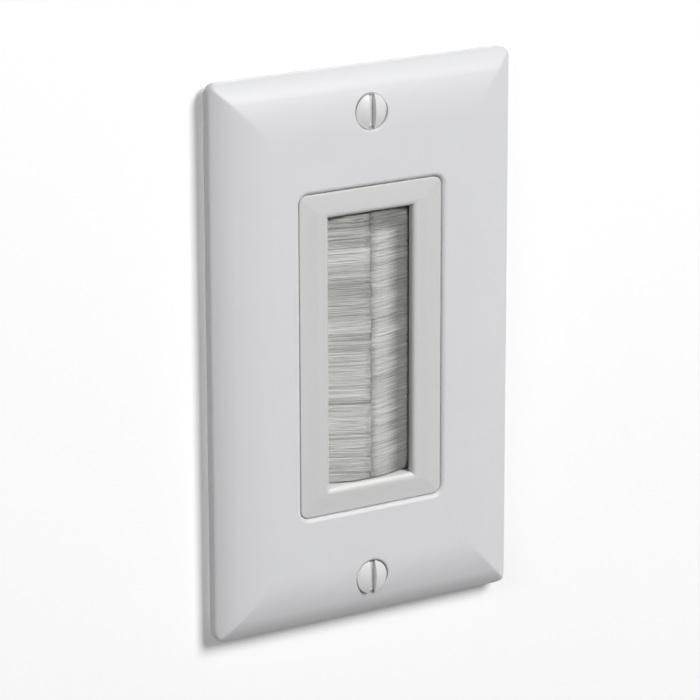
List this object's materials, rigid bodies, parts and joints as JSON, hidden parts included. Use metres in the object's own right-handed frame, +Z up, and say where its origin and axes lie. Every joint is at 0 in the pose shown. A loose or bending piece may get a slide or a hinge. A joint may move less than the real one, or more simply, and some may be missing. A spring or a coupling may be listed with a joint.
{
  "type": "brush cable grommet",
  "caption": "White single-gang wall plate with a decorator brush insert: facing bristle strips close a tall window that low-voltage cables pass through.",
  "frame": {"origin": "centre of the wall plane, on the plate's vertical and horizontal centre lines", "axes": "+X to the right as the viewer faces the plate, +Y into the wall, +Z up; the plate faces -Y"},
  "size_m": [0.0698, 0.0135, 0.1142],
  "materials": {
    "plate_plastic": "smooth satin white moulding",
    "insert_plastic": "fine matt off-white moulding",
    "white_screw": "white painted head",
    "plain_screw": "zinc plated",
    "zinc_steel": "galvanised strip",
    "core_wire": "drawn wire",
    "bristle": "pale grey nylon filament"
  },
  "bodies": {
    "root": {"wall_plate": "plate_plastic", "insert_frame": "insert_plastic", "rear_retainer": "insert_plastic", "plate_screws": "white_screw", "retainer_screws": "plain_screw", "left_channel": "zinc_steel", "right_channel": "zinc_steel", "left_core_wire": "core_wire", "right_core_wire": "core_wire", "left_bristles": "bristle", "right_bristles": "bristle"}
  },
  "joints": []
}
